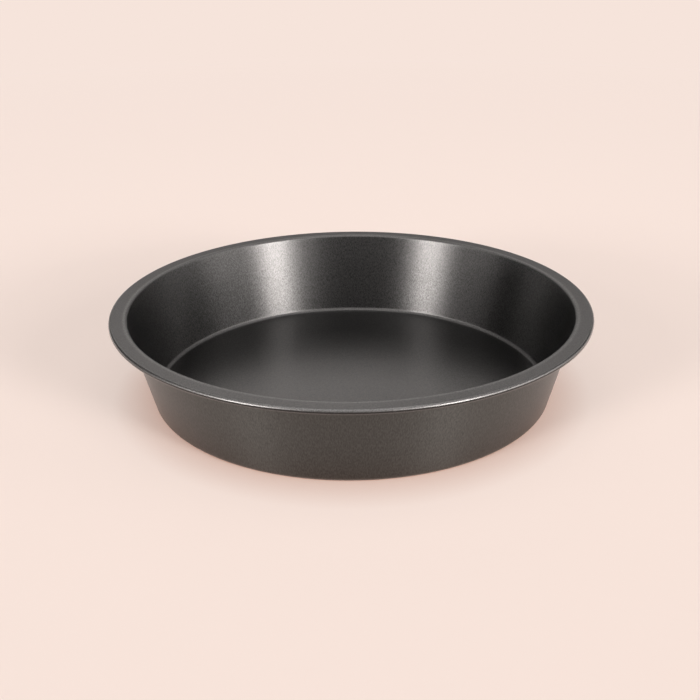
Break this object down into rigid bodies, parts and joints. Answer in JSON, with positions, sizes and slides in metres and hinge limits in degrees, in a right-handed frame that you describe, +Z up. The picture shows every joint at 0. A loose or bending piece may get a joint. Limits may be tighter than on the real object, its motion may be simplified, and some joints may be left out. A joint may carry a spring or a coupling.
{
  "type": "round cake tin",
  "caption": "Round drawn steel cake tin with a flat floor, a sloping wall, a flat flange and a rolled edge, coated dark grey non-stick inside and out.",
  "frame": {"origin": "centre of the underside of the floor, on the surface that the tin stands on", "axes": "+Z up along the tin's axis, out of its mouth; X and Y are equal, because the tin is round"},
  "size_m": [0.25, 0.25, 0.0465],
  "materials": {
    "drawn_steel": "satin",
    "inner_nonstick": "satin",
    "outer_nonstick": "satin"
  },
  "bodies": {
    "root": {"steel_pan": "drawn_steel", "inner_coating": "inner_nonstick", "outer_coating": "outer_nonstick"}
  },
  "joints": []
}
